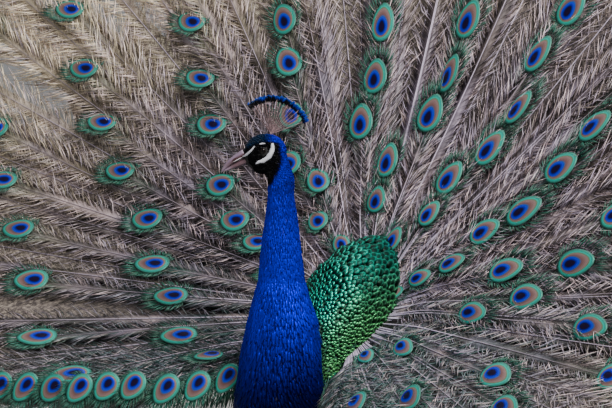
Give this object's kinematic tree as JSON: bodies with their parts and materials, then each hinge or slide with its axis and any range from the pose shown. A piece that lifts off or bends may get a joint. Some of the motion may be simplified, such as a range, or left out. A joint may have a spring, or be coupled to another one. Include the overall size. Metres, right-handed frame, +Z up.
{
  "type": "peacock",
  "caption": "Life-size still model of a displaying peacock: blue neck, fan crest, green saddle and a raised train of eyed feathers, standing on its own feet.",
  "frame": {"origin": "middle of the footprint's bounding rectangle, on the floor under the bird", "axes": "the bird faces -Y, its left side is +X, +Z is up"},
  "size_m": [2.4664, 1.0098, 1.8105],
  "materials": {
    "face_feathers": "velvety short feathers",
    "neck_blue": "velvety iridescent blue",
    "saddle_green": "glossy scale-like feathers",
    "body_dark": "soft dark feathers",
    "wing_barred": "matte barred feathers",
    "primaries_chestnut": "matte feathers",
    "bill_horn": "semi-gloss horn",
    "eye_brown": "wet gloss",
    "leg_scales": "matte scales",
    "crest_blue": "glossy feather tips",
    "train_feathers": "loose metallic barbs",
    "tail_brown": "matte stiff feathers"
  },
  "bodies": {
    "root": {"head": "face_feathers", "neck_upper": "neck_blue", "neck_middle": "neck_blue", "neck_lower": "neck_blue", "back": "saddle_green", "trunk": "body_dark", "bill_upper": "bill_horn", "bill_lower": "bill_horn", "eye_left": "eye_brown", "eye_right": "eye_brown", "crest": "crest_blue", "tail": "tail_brown", "train_1": "train_feathers", "train_2": "train_feathers", "train_3": "train_feathers", "train_4": "train_feathers", "train_5": "train_feathers", "train_6": "train_feathers", "train_7": "train_feathers", "train_8": "train_feathers", "train_9": "train_feathers", "wing_left": "wing_barred", "primaries_left": "primaries_chestnut", "thigh_left": "body_dark", "shank_left": "leg_scales", "foot_left": "leg_scales", "wing_right": "wing_barred", "primaries_right": "primaries_chestnut", "thigh_right": "body_dark", "shank_right": "leg_scales", "foot_right": "leg_scales"}
  },
  "joints": []
}
